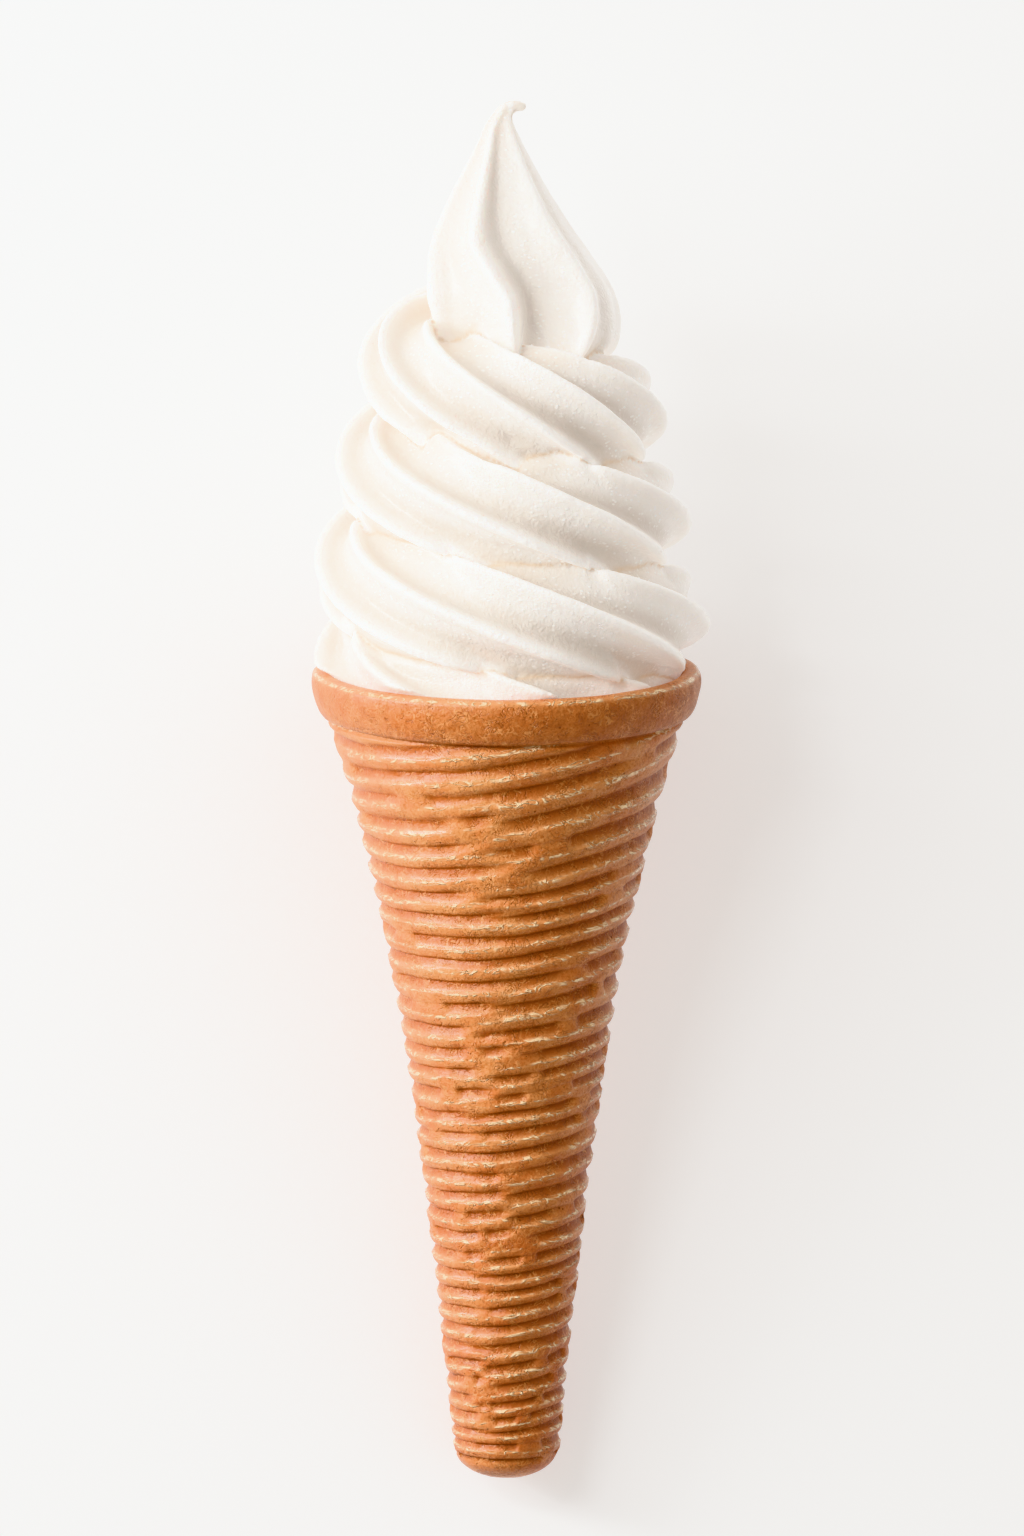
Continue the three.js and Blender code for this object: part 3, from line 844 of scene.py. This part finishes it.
class Pattern(NamedTuple):
    """A noise: waves in a metre, the values over which it fades, what it is before and after
    them, and its detail, roughness and distortion."""

    waves: float
    fades: tuple = (0.0, 1.0)
    ends: tuple = (0.0, 1.0)
    detail: float = 2.0
    roughness: float = 0.5
    distortion: float = 0.0


def noise(tree, where, pattern):
    values = {"Vector": where, "Scale": pattern.waves, "Detail": pattern.detail}
    values |= {"Roughness": pattern.roughness, "Distortion": pattern.distortion}
    return shader_node(tree, "TexNoise", values).outputs[0]


def remap(tree, value, low, high, to_low=0.0, to_high=1.0):
    values = {"Value": value, "From Min": low, "From Max": high}
    values |= {"To Min": to_low, "To Max": to_high}
    return shader_node(tree, "MapRange", values, interpolation_type="SMOOTHSTEP").outputs[0]


def blend(tree, part, first, second, kind="MIX"):
    """Two colours, each a value or a socket, blended by the part."""
    made = shader_node(tree, "Mix", data_type="RGBA", blend_type=kind)
    for index, colour in ((6, first), (7, second)):
        linked = isinstance(colour, bpy.types.NodeSocket)
        set_sockets(tree, made, {index: colour if linked else (*colour, 1)})
    set_sockets(tree, made, {0: part})
    return made.outputs[2]


def arithmetic(tree, operation, first, second):
    return shader_node(tree, "Math", {0: first, 1: second}, operation=operation).outputs[0]


def times(tree, first, second):
    return arithmetic(tree, "MULTIPLY", first, second)


def inverse(tree, value):
    return arithmetic(tree, "SUBTRACT", 1.0, value)


def attribute(tree, name):
    return shader_node(tree, "Attribute", attribute_name=name).outputs["Fac"]


def layered(tree, colour, *layers):
    """The colour under others: for each the part it covers, its colour and the way to mix."""
    for part, over, *kind in layers:
        colour = blend(tree, part, colour, over, *kind)
    return colour


def bumped(tree, *layers):
    """The normal over several bumps, each with its height from 0 to 1 and its depth."""
    normal = {}
    for height, depth in layers:
        values = {"Height": height, "Distance": depth, "Strength": 1.0, **normal}
        normal = {"Normal": shader_node(tree, "Bump", values).outputs[0]}
    return normal


def spots(tree, where, pattern):
    """The pattern's noise, faded in between two of its values."""
    return remap(tree, noise(tree, where, pattern), *pattern.fades, *pattern.ends)


def thin_lines(tree, where, pattern):
    """1 where the pattern's noise crosses its middle, 0 further from it than the line's width."""
    above = arithmetic(tree, "SUBTRACT", noise(tree, where, pattern), 0.5)
    return remap(tree, arithmetic(tree, "ABSOLUTE", above, 0.0), *pattern.fades, *pattern.ends)


def stretched(tree, where, factors):
    """The coordinates times a factor for each axis: below 1, a texture is drawn out along it."""
    return shader_node(tree, "VectorMath", {0: where, 1: factors}, operation="MULTIPLY").outputs[0]


def new_material(name, roughness):
    material = bpy.data.materials.new(name)
    material.use_nodes = True
    tree = material.node_tree
    shader = tree.nodes["Principled BSDF"]
    shader.inputs["Roughness"].default_value = roughness
    where = shader_node(tree, "TexCoord").outputs["Object"]
    return material, tree, shader, where


def set_sockets(tree, shader, values):
    """Sets or links the shader's sockets, as shader_node() does for a new node."""
    for socket, value in values.items():
        if isinstance(value, bpy.types.NodeSocket):
            tree.links.new(value, shader.inputs[socket])
        else:
            shader.inputs[socket].default_value = value


WIDE_MARK = ((0.0, 0.08), (1.0, 0.0))  # a line's half width in its noise, and its two ends
WIDE_STRAND = ((0.0, 0.09), (1.0, 0.0))

WAFER_ROUGHNESS = 0.4
PATCHES = Pattern(160, (0.35, 0.68), detail=4, roughness=0.6)
RIM_MOTTLE = Pattern(800, (0.36, 0.64), (1.0, 0.6), detail=3, roughness=0.65)
SPECKLE = Pattern(2300, (0.4, 0.7), roughness=0.7)
TAIL_DARKER = (-0.11, 0.0, 0.75, 0.0)  # metres along the floor, and how much darker the wafer is there
IN_GROOVE = (0.15, 1.0, 0.0, 0.95)  # a groove's depth, and how far the painted groove shade, a darker brown, covers there
MARKS = Pattern(520, *WIDE_MARK, detail=0, distortion=2.6)
MARKED = Pattern(430, (0.42, 0.6), (0.0, 0.38), detail=1)
HOLE_CELLS = 1100.0
HOLE_SIZES = Pattern(420, (0.52, 0.75), (0.0, 0.22), detail=1)
STRAND_STRETCH = (0.4, 1.0, 0.4)  # the painted glint strands on the crests run round the cone
STRANDS = Pattern(900, *WIDE_STRAND, detail=1, distortion=1.2)
# Breaks the painted glints into short pieces.
GLINT_GAPS = Pattern(300, (0.3, 0.52))
ON_CREST = (0.25, 0.75)
STROKES = Pattern(560, *WIDE_MARK, detail=0, distortion=2.6)
STROKED = Pattern(480, (0.42, 0.6), (0.0, 0.5), detail=1)
# Part of the crests covered by a pale painted sheen.
CREST_PART = 0.35
# Emission of the painted glints: they glow a little, though the wafer is no lamp.
PAINTED_GLINT_GLOW = 0.12
PAINTED_GLINT_ROUGHNESS = (0.0, 0.6, 0.42, 0.22)
WAFER_COAT = (0.0, 1.0, 0.16, 0.9)
WAFER_GRAIN = Pattern(1300, detail=3, roughness=0.6)
FINE_BUMP = 0.0002  # metres
HOLE_BUMP = 0.0004


def wafer_material(finish):
    """Baked wafer: a golden brown, darker towards the tail, with painted shade in the grooves
    and on the rim's face, fine speckle, pinholes and short wavy scratches, a broken gloss, and a
    pale painted sheen and glowing painted glints on the crests and along the rim's top edge."""
    material, tree, shader, where = new_material("baked wafer", WAFER_ROUGHNESS)
    groove, rim, crest = (attribute(tree, name) for name in ("groove", "rim", "crest"))
    lengthwise = shader_node(tree, "SeparateXYZ", {0: where}).outputs["Y"]
    mark = times(tree, thin_lines(tree, where, MARKS), spots(tree, where, MARKED))
    cells = shader_node(tree, "TexVoronoi", {"Vector": where, "Scale": HOLE_CELLS})
    hole_size = spots(tree, where, HOLE_SIZES)
    hole = arithmetic(tree, "LESS_THAN", cells.outputs["Distance"], hole_size)
    stroke = times(tree, thin_lines(tree, where, STROKES), spots(tree, where, STROKED))
    # Painted glints: broken bright strands along the crests and the rim's top edge.
    strands = thin_lines(tree, stretched(tree, where, STRAND_STRETCH), STRANDS)
    painted_glint = times(tree, remap(tree, crest, *ON_CREST), strands)
    painted_glint = times(tree, painted_glint, spots(tree, where, GLINT_GAPS))
    colour = layered(
        tree,
        finish.wafer_light,
        (spots(tree, where, PATCHES), finish.wafer_colour),
        # A deeper brown on the rim's face: a darker bake and painted shade.
        (times(tree, rim, spots(tree, where, RIM_MOTTLE)), finish.wafer_rim_shade),
        (spots(tree, where, SPECKLE), finish.wafer_speckle, "MULTIPLY"),
        # Darker towards the tail.
        (remap(tree, lengthwise, *TAIL_DARKER), finish.wafer_tail_tint, "MULTIPLY"),
        # Painted shade in the grooves: a darker brown, partly a browner bake.
        (remap(tree, groove, *IN_GROOVE), finish.wafer_groove_shade),
        (mark, finish.wafer_pinhole),
        (hole, finish.wafer_pinhole),
        # Pale scratches, and below a pale painted sheen on the crests.
        (stroke, finish.wafer_sheen_and_scratch),
        (times(tree, crest, CREST_PART), finish.wafer_sheen_and_scratch),
        # Painted glints.
        (painted_glint, finish.wafer_painted_glint),
    )
    normal = bumped(
        tree,
        (noise(tree, where, WAFER_GRAIN), FINE_BUMP),
        (painted_glint, FINE_BUMP),
        (inverse(tree, mark), FINE_BUMP),
        (inverse(tree, hole), HOLE_BUMP),
    )
    sockets = {
        "Base Color": colour,
        # The painted glints glow a little.
        "Emission Color": (*finish.wafer_painted_glint, 1),
        "Emission Strength": times(tree, painted_glint, PAINTED_GLINT_GLOW),
        "Roughness": remap(tree, painted_glint, *PAINTED_GLINT_ROUGHNESS),
        "IOR": 1.4,
        "Coat Weight": remap(tree, crest, *WAFER_COAT),
        "Coat Roughness": 0.15,
        "Coat IOR": 1.35,
    }
    set_sockets(tree, shader, sockets | normal)
    return material


CREAM_ROUGHNESS = 0.32
CREAM_TONES = Pattern(90, (0.3, 0.7))
# How far the painted hollow shade covers the cream.
HOLLOW_PART = 0.82
GLINT_STRETCH = (0.6, 1.0, 0.7)  # the fine painted glints on the cream run round it
GLINT_CELLS = 1500.0
GLINT_SIZE = (0.16, 0.38, 1.0, 0.0)
GLINTED = Pattern(240, (0.38, 0.55))
GLINT_PART = 0.6
CREAM_SKIN = Pattern(1500, distortion=0.6)
CREAM_RIPPLE = Pattern(330)
GLINT_BUMP = 0.00012  # metres


def cream_material(finish):
    """Soft serve: pale cream that lets light in and glows a little as painted light, with painted
    warm shade in the creases and the hollows, painted highlights and glints on the crests, and a
    rippled skin.
    """
    material, tree, shader, where = new_material("soft serve cream", CREAM_ROUGHNESS)
    names = ("crease", "hollow", "crest", "glints")
    crease, hollow, crest, band = (attribute(tree, name) for name in names)
    uncreased = inverse(tree, crease)
    # Painted glints: small pale spots in a band beside each crest.
    cells_at = stretched(tree, where, GLINT_STRETCH)
    cells = shader_node(tree, "TexVoronoi", {"Vector": cells_at, "Scale": GLINT_CELLS})
    glint_spot = remap(tree, cells.outputs["Distance"], *GLINT_SIZE)
    glint = times(tree, glint_spot, times(tree, band, spots(tree, where, GLINTED)))
    glint_part = times(tree, times(tree, glint, uncreased), GLINT_PART)
    colour = layered(
        tree,
        finish.cream_colour,
        (spots(tree, where, CREAM_TONES), finish.cream_light),
        # Painted shade in the hollows beside the crests.
        (times(tree, hollow, HOLLOW_PART), finish.cream_hollow_shade),
        # Painted warm shade in the creases.
        (crease, finish.cream_crease_shade),
        # Painted highlight lines along the crests, and painted glints.
        (times(tree, crest, uncreased), finish.cream_crest_highlight),
        (glint_part, finish.cream_crest_highlight),
    )
    normal = bumped(
        tree,
        (noise(tree, where, CREAM_SKIN), FINE_BUMP),
        (noise(tree, where, CREAM_RIPPLE), FINE_BUMP),
        (glint_part, GLINT_BUMP),
    )
    sockets = {
        "Base Color": colour,
        # The cream glows a little, though it is no lamp: painted light that lifts its shaded sides.
        "Emission Color": colour,
        "Emission Strength": 0.34,
        "Subsurface Weight": 0.25,
        "Subsurface Radius": (1.0, 0.75, 0.6),
        "Subsurface Scale": 0.004,
        "IOR": 1.38,
        "Coat Weight": 0.4,
        "Coat Roughness": 0.16,
    }
    set_sockets(tree, shader, sockets | normal)
    return material


def floor_material(finish):
    """Plain white that glows a little, so that shadows on it stay faint."""
    material, tree, shader, _ = new_material("studio floor", 0.9)
    sockets = {
        "Base Color": (*finish.floor_colour, 1),
        "Emission Color": (1, 1, 1, 1),
        "Emission Strength": 0.55,
    }
    set_sockets(tree, shader, sockets)
    return material


# ---- Settings ----


def colour_setting(name, description, default):
    return FloatVectorProperty(
        name=name, description=description, default=default, subtype="COLOR", min=0, max=1
    )


def part_setting(name, description, default, most):
    return FloatProperty(
        name=name, description=description, default=default, min=0, max=most, subtype="FACTOR"
    )


class ConeShape(bpy.types.PropertyGroup):
    rib_relief: part_setting("Rib relief", "Grooves as a part of a rib's height", 0.26, 0.5)
    rope_groove: part_setting("Rope groove", "Valleys as a part of the rope's radius", 0.34, 0.5)
    peak_groove: part_setting("Peak groove", "Valleys as a part of the peak's radius", 0.4, 0.6)
    cream_voxel: FloatProperty(
        name="Cream voxel",
        description="Size of the cells that fuse the rope, the peak and the filling",
        default=0.00045,
        min=0.0003,
        max=0.003,
        precision=5,
        unit="LENGTH",
    )


class ConeFinish(bpy.types.PropertyGroup):
    wafer_colour: colour_setting("Wafer", "Main colour of the wafer", (0.66, 0.228, 0.075))
    wafer_light: colour_setting("Pale wafer", "Paler patches of the wafer", (0.73, 0.315, 0.12))
    wafer_speckle: colour_setting("Speckle", "Fine dark speckle", (0.8, 0.66, 0.5))
    # Painted shade in the grooves: a darker brown, partly a browner bake.
    wafer_groove_shade: colour_setting("Groove", "Browner wafer in the grooves", (0.38, 0.095, 0.018))
    # A deeper brown on the rim's face: a darker bake and painted shade.
    wafer_rim_shade: colour_setting("Rim", "Deeper brown of the rim's face", (0.47, 0.15, 0.045))
    wafer_pinhole: colour_setting("Pinhole", "Small burnt holes", (0.27, 0.075, 0.016))
    # Darker towards the tail.
    wafer_tail_tint: colour_setting("Baked", "Tint of the browner tail", (0.88, 0.72, 0.68))
    # Pale scratches, and a pale painted sheen on the rib crests.
    wafer_sheen_and_scratch: colour_setting("Rib crest", "Paler crests of the ribs", (0.92, 0.46, 0.19))
    # Painted glints on the crests and the rim's top edge, which also glow a little.
    wafer_painted_glint: colour_setting("Glaze", "Pale gloss and fine scratches", (1.0, 0.76, 0.46))
    cream_colour: colour_setting("Cream", "Main colour of the soft serve", (0.765, 0.735, 0.70))
    cream_light: colour_setting("Pale cream", "Paler soft serve", (0.785, 0.757, 0.722))
    # Painted warm shade in the creases.
    cream_crease_shade: colour_setting("Crease", "Warm tone deep in the creases", (0.66, 0.53, 0.4))
    # Painted shade in the hollows beside the crests.
    cream_hollow_shade: colour_setting("Hollow", "Duller cream beside a crest", (0.59, 0.52, 0.455))
    # Painted highlight lines along the lobes' crests, and painted glints.
    cream_crest_highlight: colour_setting("Crest", "Pale crests of the lobes", (0.90, 0.885, 0.865))
    floor_colour: colour_setting("Floor", "Plain pale floor", (0.56, 0.56, 0.56))


def amount_setting(name, description, default, unit="NONE"):
    return FloatProperty(name=name, description=description, default=default, min=0, unit=unit)


class StudioLight(bpy.types.PropertyGroup):
    key_power: amount_setting("Key power", "Power of the lights at the upper left", 9.0, "POWER")
    fill_strength: amount_setting("Fill", "Strength of the even light all round", 0.42)
    fill_colour: colour_setting("Fill colour", "Colour of the even light", (1.0, 0.88, 0.77))
    key_colour: colour_setting("Key colour", "Colour of the lights", (0.93, 0.98, 1.0))
    camera_distance: amount_setting("Camera distance", "To the cone's middle", 2.6, "LENGTH")


class SoftServeCone(bpy.types.PropertyGroup):
    shape: PointerProperty(type=ConeShape)
    finish: PointerProperty(type=ConeFinish)
    studio: PointerProperty(type=StudioLight)


# ---- Operators ----


class OBJECT_OT_wafer_cone(bpy.types.Operator):
    """Build the ribbed wafer cone with its smooth rim"""

    bl_idname = "softserve.wafer_cone"
    bl_label = "Wafer cone"

    def execute(self, context):
        settings = context.scene.soft_serve_cone
        rings, traits = wafer_surface(settings.shape.rib_relief)
        tail, floor_inside = np.zeros(3), np.array([0, 0, INNER_BOTTOM])
        points, faces = tube_mesh(rings, tail, floor_inside)
        piece = new_piece("ribbed_wafer", lay_down(points), faces)
        for name, values in traits.items():
            set_attribute(piece.data, name, np.append(values.ravel(), (0, 0)))
        piece.data.materials.append(wafer_material(settings.finish))
        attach(piece, "root")
        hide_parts("wafer_cone")
        return {"FINISHED"}


class OBJECT_OT_soft_serve(bpy.types.Operator):
    """Build the soft serve: its coiled rope, its peak and the filling"""

    bl_idname = "softserve.soft_serve"
    bl_label = "Soft serve"

    def execute(self, context):
        settings = context.scene.soft_serve_cone
        shape = settings.shape
        parts = [rope(shape.rope_groove), peak(shape.peak_groove), heart(), swell()]
        points, faces = join_meshes(parts)
        piece = new_piece("soft_serve_swirl", kept_inside(points) * MM, faces)
        mesh = fuse(piece, shape)
        points = mesh_points(mesh) / MM
        normals = mesh_points(mesh, "normal")
        uneven = unevenness(points, CREAM_UNEVEN)
        off, own_turn, on_peak = off_surfaces(points, shape)
        traits = lobe_traits(points, own_turn, on_peak)
        bent = bend(mesh, points, normals)
        traits["crease"] = crease_shade(bent, points, off, own_turn, on_peak)
        laid = lay_down(points + normals * uneven[:, None])
        mesh.vertices.foreach_set("co", laid.ravel())
        for name, values in traits.items():
            set_attribute(mesh, name, values)
        mesh.update()
        mesh.materials.append(cream_material(settings.finish))
        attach(piece, "root")
        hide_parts("soft_serve")
        return {"FINISHED"}


CAMERA_MIDDLE = (0.23, 4.06, 31.0)  # millimetres from the origin
VIEW_LENGTH = 245.76  # what the long side of the view takes in there, in millimetres
SENSOR = 36.0
FLOOR_SIDE = 8.0  # metres

# Lights over the cone: degrees to the right of straight up, distance beyond the middle towards
# the tip, size across and along the cone, and share of the power.
STUDIO_LIGHTS = (
    ("left strip", -70, 0.14, 0.4, 0.12, 0.55),
    ("upper strip", -34, 0.16, 0.36, 0.06, 0.18),
    ("soft box", -44, 0.5, 0.6, 0.5, 0.27),
)
LIGHT_RADIUS = 0.6


def area_light(name, degrees, beyond, across, along, power, colour):
    """A rectangular light that faces the cone's axis from a place on an arc over it."""
    angle = math.radians(degrees)
    light = bpy.data.lights.new(name, "AREA")
    light.shape = "RECTANGLE"
    light.size = across
    light.size_y = along
    light.energy = power
    light.color = colour
    lamp = bpy.data.objects.new(name, light)
    lamp.location = (LIGHT_RADIUS * math.sin(angle), beyond, LIGHT_RADIUS * math.cos(angle))
    lamp.rotation_euler = (-math.atan2(beyond, LIGHT_RADIUS), angle, 0)
    bpy.context.scene.collection.objects.link(lamp)
    return lamp


class OBJECT_OT_studio(bpy.types.Operator):
    """Set up the pale floor, the soft lights and the camera that looks down"""

    bl_idname = "softserve.studio"
    bl_label = "Studio"

    def execute(self, context):
        settings = context.scene.soft_serve_cone
        studio = settings.studio
        half = FLOOR_SIDE / 2
        corners = np.array([(-half, -half, 0), (half, -half, 0), (half, half, 0), (-half, half, 0)])
        floor = new_piece("floor", corners, [(0, 1, 2, 3)])
        floor.data.materials.append(floor_material(settings.finish))
        middle = [value * MM for value in CAMERA_MIDDLE]
        for *placing, share in STUDIO_LIGHTS:
            area_light(*placing, studio.key_power * share, studio.key_colour)
        world = bpy.data.worlds.new("studio")
        world.use_nodes = True
        values = {"Color": (*studio.fill_colour, 1), "Strength": studio.fill_strength}
        set_sockets(world.node_tree, world.node_tree.nodes["Background"], values)
        context.scene.world = world
        context.scene.view_settings.view_transform = "Khronos PBR Neutral"
        lens = bpy.data.cameras.new("camera")
        lens.sensor_width = SENSOR
        lens.lens = SENSOR * studio.camera_distance / (VIEW_LENGTH * MM)
        lens.clip_end = 10.0
        camera = bpy.data.objects.new("camera", lens)
        camera.location = (middle[0], middle[1], middle[2] + studio.camera_distance)
        context.scene.collection.objects.link(camera)
        context.scene.camera = camera
        return {"FINISHED"}


class VIEW3D_PT_soft_serve_cone(bpy.types.Panel):
    """Settings and steps of the soft serve cone"""

    bl_label = "Soft Serve Cone"
    bl_space_type = "VIEW_3D"
    bl_region_type = "UI"
    bl_category = "Soft Serve"

    def draw(self, context):
        settings = context.scene.soft_serve_cone
        for group in (settings.shape, settings.finish, settings.studio):
            box = self.layout.box()
            for name in group.bl_rna.properties.keys():
                if name not in {"rna_type", "name"}:
                    box.prop(group, name)
        for operator in (OBJECT_OT_wafer_cone, OBJECT_OT_soft_serve, OBJECT_OT_studio):
            self.layout.operator(operator.bl_idname)


CLASSES = (
    ConeShape,
    ConeFinish,
    StudioLight,
    SoftServeCone,
    OBJECT_OT_wafer_cone,
    OBJECT_OT_soft_serve,
    OBJECT_OT_studio,
    VIEW3D_PT_soft_serve_cone,
)


def register():
    for each in CLASSES:
        bpy.utils.register_class(each)
    bpy.types.Scene.soft_serve_cone = PointerProperty(type=SoftServeCone)


def unregister():
    del bpy.types.Scene.soft_serve_cone
    for each in reversed(CLASSES):
        bpy.utils.unregister_class(each)


def main():
    register()
    bpy.ops.softserve.wafer_cone()
    bpy.ops.softserve.soft_serve()
    bpy.ops.softserve.studio()


if __name__ == "__main__":
    main()
